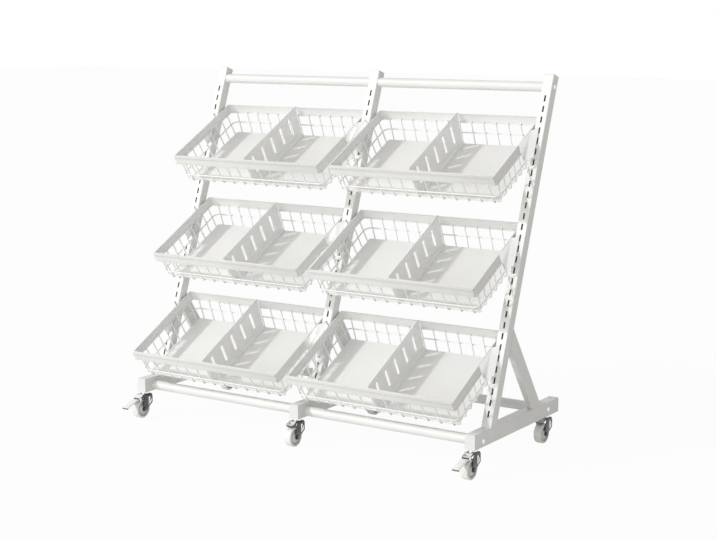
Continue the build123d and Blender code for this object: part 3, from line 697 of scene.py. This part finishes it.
def cheek_outline():
    """Side view of the fork, drawn in to a round end at the axle."""
    front, rear = (CROWN_FRONT, CROWN_TOP), (CROWN_REAR, CHEEK_REAR_LOW)
    angles = []
    for point, way in ((front, 1), (rear, -1)):
        reach = Vector(point) - AXLE.yz
        tangent = way * math.acos(CHEEK_RADIUS / reach.length)
        angles.append(math.degrees(math.atan2(reach.y, reach.x) + tangent))
    corner = (CROWN_REAR - CROWN_ROUND, CROWN_TOP - CROWN_ROUND)
    end = arc(AXLE.yz, CHEEK_RADIUS, angles[0], angles[1] + 360, 8)
    return [front, *end, rear, *arc(corner, CROWN_ROUND, 0, 90, 5)]


def cheek_side(face):
    """Whether a face is the outside of a cheek."""
    return abs(face.normal.x) > FACING and abs(middle(face).x) > FORK_HALF - NEAR


def cheeks():
    """Bent sheet of the fork, with the rear of each cheek dished inside a raised edge; the sheet is dark metal
    as painted shade and painted dark reflections, and the dished faces are bright zinc.
    """
    half = FORK_HALF - FORK_SHEET / 2
    crown = CROWN_TOP - FORK_SHEET / 2
    profile = [(-half, 0), (-half, crown), (half, crown), (half, 0)]
    body = line("cheeks", [(x, 2 * CROWN_FRONT, z) for x, z in profile])
    with editing(body):
        pick("VERT", lambda v: v.co.z > crown - NEAR)
        bpy.ops.mesh.bevel(offset=FORK_BEND, segments=4, affect="VERTICES")
        bpy.ops.mesh.select_all(action="SELECT")
        extrude((0, 2 * (CROWN_REAR - CROWN_FRONT), 0))
    thicken(body, FORK_SHEET)
    view = flat("view", [(0, y, z) for y, z in cheek_outline()])
    thicken(view, 4 * FORK_HALF)
    combine(body, view, "INTERSECT")
    # dark metal all over as painted shade and painted dark reflections; the dishes get bright zinc below
    dress(body, "zinc_painted_shade")
    with editing(body):
        pick("FACE", cheek_side)
        bpy.ops.mesh.bisect(plane_co=(0, CHEEK_SPLIT, 0), plane_no=(0, 1, 0))
        pick("FACE", lambda f: cheek_side(f) and middle(f).y > CHEEK_SPLIT)
        bpy.ops.mesh.inset(thickness=CHEEK_BAND, depth=0)
        bpy.ops.mesh.inset(thickness=CHEEK_DISH, depth=-CHEEK_DISH)
        paint("zinc")
    return body


def tongue():
    """Plate ahead of the crown, with its sides turned down; its top is bright zinc and the rest dark metal as
    painted shade.
    """
    crown = CROWN_TOP - FORK_SHEET / 2
    root = CROWN_FRONT + 2 * FORK_SHEET
    profile = ((root, crown), (CROWN_FRONT, crown), TONGUE_END)
    plate = line("tongue", [(-TONGUE_HALF, y, z) for y, z in profile])
    with editing(plate):
        extrude((2 * TONGUE_HALF, 0, 0))
        pick("VERT", lambda v: v.co.y < TONGUE_END[0] + NEAR)
        bpy.ops.mesh.bevel(offset=TONGUE_ROUND, segments=4, affect="VERTICES")
        pick("EDGE", lambda e: e.is_boundary and middle(e).y < CROWN_FRONT - NEAR)
        extrude((0, 0, -TONGUE_SIDE))
    thicken(plate, FORK_SHEET)
    # dark metal as painted shade, then bright zinc on the faces that look up
    dress(plate, "zinc_painted_shade")
    with editing(plate):
        pick("FACE", lambda f: f.normal.z > TONGUE_UP)
        paint("zinc")
    return plate


def axle():
    """Axle bolt with six-sided heads outside the cheeks, in dark metal as painted shade."""
    parts = [rod("axle", AXLE_DIAMETER, 2 * FORK_HALF, AXLE)]
    for way in (-1, 1):
        place = AXLE + Vector((way * (FORK_HALF + AXLE_HEAD_HEIGHT / 2), 0, 0))
        parts.append(rod("head", AXLE_HEAD, AXLE_HEAD_HEIGHT, place, vertices=6))
    # dark metal: painted shade
    return dress(join("axle", *parts), "zinc_painted_shade")


def pedal_lugs():
    """Two lugs under the tongue and the pin between them."""
    outline = arc(PIVOT, LUG_RADIUS, 180, 360, 6)
    outline += [(PIVOT[0] + way * LUG_RADIUS, LUG_TOP) for way in (1, -1)]
    across = PEDAL_HALF + LUG_GAP + LUG_SHEET / 2
    lugs = flat("lugs", [(across, y, z) for y, z in outline])
    modify(lugs, "MIRROR", use_axis=(True, False, False))
    thicken(lugs, LUG_SHEET)
    pin = rod("pin", 2 * PIN, 2 * across, (0, *PIVOT), vertices=12)
    return dress(join("lugs", lugs, pin), "zinc")


def fork(braked):
    """Whole fork, with lugs for a pedal where it is braked."""
    parts = [cheeks(), tongue(), axle()]
    if braked:
        parts.append(pedal_lugs())
    whole = join("fork", *parts)
    soften(whole, CASTER_EDGE)
    return whole


def wheel():
    """Wheel with a rounded tread, a ring on its recessed side painted darker as shade, and a hub."""
    outline = WHEEL_SIDE + [(radius, -height) for radius, height in reversed(WHEEL_SIDE)]
    whole = lathe("wheel", outline + WHEEL_SIDE[:1], WHEEL_STEPS)
    dress(whole, "nylon")
    with editing(whole):
        # paints the recess ring darker, as shade
        pick("FACE", lambda f: PAINTED_RECESS_SHADE[0] < middle(f).xy.length < PAINTED_RECESS_SHADE[1])
        paint("nylon_painted_recess_shade")
    put(whole, Matrix.Translation(AXLE) @ turned(y=90))
    smooth(whole, SMOOTH_TURNED)
    return whole


def brake_pedal():
    """Bent pedal with a turned-down lip painted dark as shade, ribs for the foot, a hub round the pin and a
    brake shoe.
    """
    plate = line("pedal", [(-PEDAL_HALF, y, z) for y, z in (PIVOT, PEDAL_KNEE, PEDAL_TIP)])
    with editing(plate):
        extrude((2 * PEDAL_HALF, 0, 0))
        pick("EDGE", lambda e: middle(e).y < PEDAL_TIP[0] + NEAR)
        extrude((0, 0, -PEDAL_LIP))
        pick("VERT", lambda v: v.co.y > PEDAL_KNEE[0] + NEAR)
        bpy.ops.transform.translate(value=(0, -PEDAL_HUB, 0))
    thicken(plate, PEDAL_SHEET)
    dress(plate, "pedal_plastic")
    with editing(plate):
        # paints the lip dark, as shade
        pick("FACE", lambda f: middle(f).z < PEDAL_TIP[1])
        paint("pedal_lip_painted_shade")
    knee, tip = Vector(PEDAL_KNEE), Vector(PEDAL_TIP)
    slope = math.degrees(math.atan2(knee.y - tip.y, knee.x - tip.x))
    parts = [plate]
    rib = (PEDAL_RIB_LENGTH, PEDAL_RIB, 2 * PEDAL_RIB)
    for i in range(PEDAL_RIBS):
        y, z = tip.lerp(knee, (PEDAL_FIRST_RIB + i) / (PEDAL_RIBS + 2))
        parts.append(start("rib", "cube", rib, (0, y, z + PEDAL_SHEET / 2), turned(x=slope)))
    parts.append(start("shoe", "cube", SHOE_SIZE, SHOE_MIDDLE))
    inner, outer, half = PIN + PEDAL_PLAY, PEDAL_HUB, PEDAL_HALF
    ring = [(inner, -half), (outer, -half), (outer, half), (inner, half), (inner, -half)]
    hub = lathe("hub", ring, TURNED_STEPS)
    put(hub, Matrix.Translation((0, *PIVOT)) @ turned(y=90))
    pedal = join("pedal", *parts, hub)
    soften(pedal, CASTER_EDGE)
    return pedal


def bolt_head():
    """Button head with a six-sided socket."""
    head = lathe("bolt", BOLT_HEAD, TURNED_STEPS)
    socket = start("socket", "cylinder", BOLT_SOCKET, BOLT_SOCKET_MIDDLE, vertices=6)
    combine(head, socket, "DIFFERENCE")
    smooth(head, SMOOTH_TURNED)
    return head


def shader_nodes(name):
    """New material, its node tree, its shader and its object coordinates."""
    material = bpy.data.materials.new(name)
    material.use_nodes = True
    tree = material.node_tree
    place = tree.nodes.new("ShaderNodeTexCoord").outputs["Object"]
    return material, tree, tree.nodes["Principled BSDF"], place


def noise(tree, place, scale, detail=2.0):
    """Noise over the object's own coordinates."""
    node = tree.nodes.new("ShaderNodeTexNoise")
    node.inputs["Scale"].default_value = scale
    node.inputs["Detail"].default_value = detail
    tree.links.new(place, node.inputs["Vector"])
    return node.outputs["Fac"]


def ramp(tree, value, dark, light):
    """Noise turned into a colour between two."""
    node = tree.nodes.new("ShaderNodeValToRGB")
    for point, position, colour in zip(node.color_ramp.elements, PATCH_RANGE, (dark, light)):
        point.position = position
        point.color = (*colour, 1)
    tree.links.new(value, node.inputs["Fac"])
    return node.outputs["Color"]


def spread(tree, value, low, high):
    """Noise stretched between two numbers."""
    node = tree.nodes.new("ShaderNodeMapRange")
    for socket, number in zip(("From Min", "From Max", "To Min", "To Max"), (*PATCH_RANGE, low, high)):
        node.inputs[socket].default_value = number
    tree.links.new(value, node.inputs["Value"])
    return node.outputs["Result"]


def bump(tree, shader, height, depth):
    """Fine relief from noise."""
    node = tree.nodes.new("ShaderNodeBump")
    node.inputs["Distance"].default_value = depth
    tree.links.new(height, node.inputs["Height"])
    tree.links.new(node.outputs["Normal"], shader.inputs["Normal"])


def mottled(name, light, dark, patch, roughness, grain, depth):
    """Finish with faint patches of two colours, uneven gloss and a fine grain."""
    material, tree, shader, place = shader_nodes(name)
    patches = noise(tree, place, patch, PATCH_DETAIL)
    tree.links.new(ramp(tree, patches, dark, light), shader.inputs["Base Color"])
    gloss = noise(tree, place, GLOSS_SCALE * patch)
    tree.links.new(spread(tree, gloss, *roughness), shader.inputs["Roughness"])
    bump(tree, shader, noise(tree, place, grain, GRAIN_DETAIL), depth)
    for socket, value in SHINE.get(name, {}).items():
        shader.inputs[socket].default_value = value
    return material


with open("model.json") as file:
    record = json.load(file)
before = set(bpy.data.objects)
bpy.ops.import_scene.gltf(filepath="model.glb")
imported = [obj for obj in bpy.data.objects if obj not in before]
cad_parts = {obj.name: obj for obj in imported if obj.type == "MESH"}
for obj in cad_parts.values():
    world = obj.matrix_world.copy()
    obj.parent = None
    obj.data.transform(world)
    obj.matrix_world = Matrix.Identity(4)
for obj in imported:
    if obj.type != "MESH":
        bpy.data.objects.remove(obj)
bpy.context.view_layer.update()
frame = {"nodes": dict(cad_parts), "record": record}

FINISHES = {name: mottled(name, *look) for name, look in LOOKS.items()}


def basket_place(name):
    """Basket's own frame, from its rim's box: the rear edge is highest, and the hem below it rearmost."""
    low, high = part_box(f"basket_rim_{name}")
    origin = ((low.x + high.x) / 2, high.y - RIM_HEIGHT * math.sin(TILT), high.z)
    return Matrix.Translation(origin) @ Matrix.Rotation(TILT, 4, "X")


def dress_cad_nodes():
    """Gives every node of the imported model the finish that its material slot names."""
    for entry in frame["record"]["subparts"]:
        dress(frame["nodes"][entry["node"]], entry["material_slot"])


def place_baskets():
    """Every basket's pieces, copied from one model of each."""
    strips = dress(basket_rim(), "powder_coat")
    # the arms' coat is whiter than the rim's: painted light
    arms = dress(hanger_arms(), "arm_coat_painted_light")
    models = {
        "rim": (join("rim", strips, arms), "powder_coat", "basket"),
        # the wires' coat is whiter than the powder coat: painted light
        "wires": (dress(basket_wires(), "wire_coat_painted_light"), "powder_coat", "basket"),
        "floor_sheet": (dress(floor_sheet(), "floor_sheet"), "floor_sheet", "basket"),
        "price_strip": (dress(price_strip(), "strip_plastic"), "strip_plastic", "basket"),
        # the divider's coat is whiter than the powder coat: painted bounce light
        "divider": (dress(divider(), "divider_coat_painted_light"), "powder_coat", "divider"),
    }
    for bay in BAYS:
        for tier in TIERS:
            name = f"{tier}_{bay}"
            place = basket_place(name)
            for kind, (model, slot, body) in models.items():
                piece = copy(model, f"{kind}.{name}", place)
                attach(piece, f"{body}_{name}")
                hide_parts(f"basket_{kind}_{name}")
    for model, _, _ in models.values():
        bpy.data.objects.remove(model)


def caster_place(name):
    """Caster's own frame, from its fork's box, which is even about the swivel axis and ends at the crown."""
    low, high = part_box(f"caster_fork_{name}")
    return Matrix.Translation(((low.x + high.x) / 2, high.y - CROWN_REAR, 0))


def place_casters():
    """Every caster's fork and wheel, and the two brake pedals, copied from one model of each."""
    plain_fork, braked_fork = fork(False), fork(True)
    wheel_model, pedal_model = wheel(), brake_pedal()
    for name in CASTERS:
        braked = name in BRAKED
        made = [
            ("fork", "caster", f"caster_fork_{name}", braked_fork if braked else plain_fork, "zinc"),
            ("wheel", "wheel", f"caster_wheel_{name}", wheel_model, "nylon"),
        ]
        if braked:
            made.append(("pedal", "pedal", f"brake_pedal_{name}", pedal_model, "pedal_plastic"))
        for kind, body, node, model, finish in made:
            piece = copy(model, f"{kind}.{name}", caster_place(name))
            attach(piece, f"{body}_{name}")
            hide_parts(node)
    for model in (plain_fork, braked_fork, wheel_model, pedal_model):
        bpy.data.objects.remove(model)


def place_bolts():
    """A bolt head on the outside of the outer frames, at each end of every bar."""
    model = bolt_head()
    heads = []
    for bars, outside in BOLT_ROWS:
        low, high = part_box(bars)
        for way, side in ((-1, "left"), (1, "right")):
            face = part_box(f"{outside}_{side}")[0 if way < 0 else 1].x
            place = Matrix.Translation((face, (low.y + high.y) / 2, (low.z + high.z) / 2))
            heads.append(copy(model, "bolt", place @ turned(y=90 * way)))
    bpy.data.objects.remove(model)
    piece = dress(join("bolts", *heads), "zinc")
    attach(piece, "frame")
    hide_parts("frame_bolts")


def add_camera():
    """Camera of the photograph, without roll."""
    bpy.ops.object.camera_add(location=EYE, rotation=(AIM - EYE).to_track_quat("-Z", "Y").to_euler())
    camera = bpy.context.object
    camera.data.lens = LENS
    camera.data.sensor_width = SENSOR
    bpy.context.scene.camera = camera


def seen(tree):
    """One for rays from the camera or out of a reflection or glass, and zero for the light on surfaces."""
    path = tree.nodes.new("ShaderNodeLightPath")
    direct = path.outputs["Is Camera Ray"]
    for other in ("Is Glossy Ray", "Is Transmission Ray"):
        either = tree.nodes.new("ShaderNodeMath")
        either.operation = "MAXIMUM"
        tree.links.new(direct, either.inputs[0])
        tree.links.new(path.outputs[other], either.inputs[1])
        direct = either.outputs[0]
    return direct


def add_floor():
    """Pale floor that is white to the camera and keeps the stand's shadow."""
    floor = start("floor", "plane", (FLOOR_SIZE, FLOOR_SIZE, 1))
    material, tree, shader, place = shader_nodes("floor")
    shader.inputs["Roughness"].default_value = FLOOR_ROUGHNESS
    pale = ramp(tree, noise(tree, place, FLOOR_PATCH), *FLOOR_COLOURS)
    tree.links.new(pale, shader.inputs["Base Color"])
    glow = tree.nodes.new("ShaderNodeEmission")
    glow.inputs["Color"].default_value = WHITE
    mix = tree.nodes.new("ShaderNodeMixShader")
    share = tree.nodes.new("ShaderNodeMath")
    share.operation = "MULTIPLY"
    share.inputs[1].default_value = FLOOR_WHITE
    tree.links.new(seen(tree), share.inputs[0])
    tree.links.new(share.outputs[0], mix.inputs["Fac"])
    tree.links.new(shader.outputs["BSDF"], mix.inputs[1])
    tree.links.new(glow.outputs["Emission"], mix.inputs[2])
    tree.links.new(mix.outputs["Shader"], tree.nodes["Material Output"].inputs["Surface"])
    floor.data.materials.append(material)


def add_world():
    """White to the camera and in reflections, and a dimmer even light on surfaces."""
    world = bpy.data.worlds.new("studio")
    world.use_nodes = True
    bpy.context.scene.world = world
    tree = world.node_tree
    light = tree.nodes["Background"]
    light.inputs["Color"].default_value = ROOM_COLOUR
    light.inputs["Strength"].default_value = ROOM_STRENGTH
    white = tree.nodes.new("ShaderNodeBackground")
    white.inputs["Color"].default_value = WHITE
    mix = tree.nodes.new("ShaderNodeMixShader")
    tree.links.new(seen(tree), mix.inputs["Fac"])
    tree.links.new(light.outputs["Background"], mix.inputs[1])
    tree.links.new(white.outputs["Background"], mix.inputs[2])
    tree.links.new(mix.outputs["Shader"], tree.nodes["World Output"].inputs["Surface"])


def add_lights():
    """Key from the front left, and a wide soft front light."""
    bpy.ops.object.light_add(type="SUN", rotation=KEY_FROM.to_track_quat("Z", "Y").to_euler())
    key = bpy.context.object.data
    key.energy = KEY_ENERGY
    key.angle = KEY_ANGLE
    turn = (FRONT_LIGHT - FRONT_LIGHT_AIM).to_track_quat("Z", "Y").to_euler()
    bpy.ops.object.light_add(type="AREA", location=FRONT_LIGHT, rotation=turn)
    front = bpy.context.object.data
    front.shape = "RECTANGLE"
    front.size, front.size_y = FRONT_LIGHT_SIZE
    front.energy = FRONT_LIGHT_ENERGY


dress_cad_nodes()
place_baskets()
place_casters()
place_bolts()
add_camera()
add_floor()
add_world()
add_lights()
bpy.context.scene.view_settings.view_transform = "Standard"
